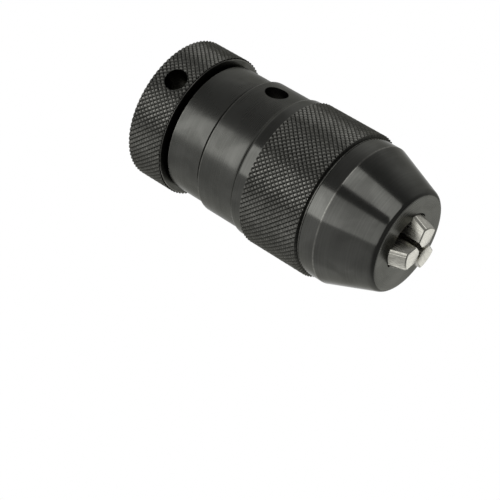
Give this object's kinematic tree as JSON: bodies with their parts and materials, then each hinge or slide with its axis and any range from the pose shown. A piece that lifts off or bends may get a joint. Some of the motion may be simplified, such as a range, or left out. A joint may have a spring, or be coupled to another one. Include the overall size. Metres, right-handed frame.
{
  "type": "drill chuck",
  "caption": "Keyless self-tightening drill chuck with a knurled sleeve, tapered nose hood, jaws that close as the sleeve turns, and a short-taper socket in its back.",
  "frame": {"origin": "centre of the flat rear face, on the spindle axis", "axes": "+Z along the spindle axis from the rear face to the jaws, +X through the knurled ring's spanner hole"},
  "size_m": [0.05, 0.05, 0.1002],
  "materials": {
    "black_oxide": "satin",
    "bright_steel_hub": "satin",
    "ground_steel": "satin",
    "race_steel": "satin",
    "ball_steel": "polished",
    "cage_brass": "satin",
    "spring_steel": "satin",
    "guide_steel": "satin",
    "nut_steel": "satin"
  },
  "bodies": {
    "hub_body": {"hub": "bright_steel_hub", "knurled_ring": "black_oxide", "ring_dowel_1": "ground_steel", "ring_dowel_2": "ground_steel", "front_race": "race_steel"},
    "sleeve_body": {"bearing_cup": "black_oxide", "rear_race": "race_steel", "wave_spring": "spring_steel", "sleeve": "black_oxide", "hood": "black_oxide", "jaw_guide": "guide_steel"},
    "ball_cage_body": {"ball_cage": "cage_brass", "bearing_ball_01": "ball_steel", "bearing_ball_02": "ball_steel", "bearing_ball_03": "ball_steel", "bearing_ball_04": "ball_steel", "bearing_ball_05": "ball_steel", "bearing_ball_06": "ball_steel", "bearing_ball_07": "ball_steel", "bearing_ball_08": "ball_steel", "bearing_ball_09": "ball_steel", "bearing_ball_10": "ball_steel", "bearing_ball_11": "ball_steel", "bearing_ball_12": "ball_steel", "bearing_ball_13": "ball_steel", "bearing_ball_14": "ball_steel", "bearing_ball_15": "ball_steel", "bearing_ball_16": "ball_steel"},
    "jaw_nut_body": {"jaw_nut": "nut_steel"},
    "jaw_1_body": {"jaw_1": "ground_steel"},
    "jaw_2_body": {"jaw_2": "ground_steel"},
    "jaw_3_body": {"jaw_3": "ground_steel"}
  },
  "joints": [
    {"name": "sleeve_turn", "type": "hinge", "parent": "hub_body", "child": "sleeve_body", "pos_m": [0, 0, 0], "axis": [0, 0, 1], "range_deg": [-192, 1612]},
    {"name": "cage_turn", "type": "hinge", "parent": "hub_body", "child": "ball_cage_body", "pos_m": [0, 0, 0.0214], "axis": [0, 0, 1], "range_deg": [-97, 807]},
    {"name": "nut_slide", "type": "slide", "parent": "sleeve_body", "child": "jaw_nut_body", "axis": [0, 0, 1], "range_m": [-0.01802, 0.00224]},
    {"name": "jaw_1_slide", "type": "slide", "parent": "sleeve_body", "child": "jaw_1_body", "axis": [-0.1424, -0.3199, 0.9367], "range_m": [-0.01923, 0.00238]},
    {"name": "jaw_2_slide", "type": "slide", "parent": "sleeve_body", "child": "jaw_2_body", "axis": [0.3483, 0.0366, 0.9367], "range_m": [-0.01923, 0.00238]},
    {"name": "jaw_3_slide", "type": "slide", "parent": "sleeve_body", "child": "jaw_3_body", "axis": [-0.2058, 0.2833, 0.9367], "range_m": [-0.01923, 0.00238]}
  ],
  "couplings": [
    {"joint": "cage_turn", "follows": "sleeve_turn", "ratio": 0.5},
    {"joint": "nut_slide", "follows": "sleeve_turn", "m_per_rad": -0.00063662},
    {"joint": "jaw_1_slide", "follows": "sleeve_turn", "m_per_rad": -0.00067966},
    {"joint": "jaw_2_slide", "follows": "sleeve_turn", "m_per_rad": -0.00067966},
    {"joint": "jaw_3_slide", "follows": "sleeve_turn", "m_per_rad": -0.00067966}
  ]
}
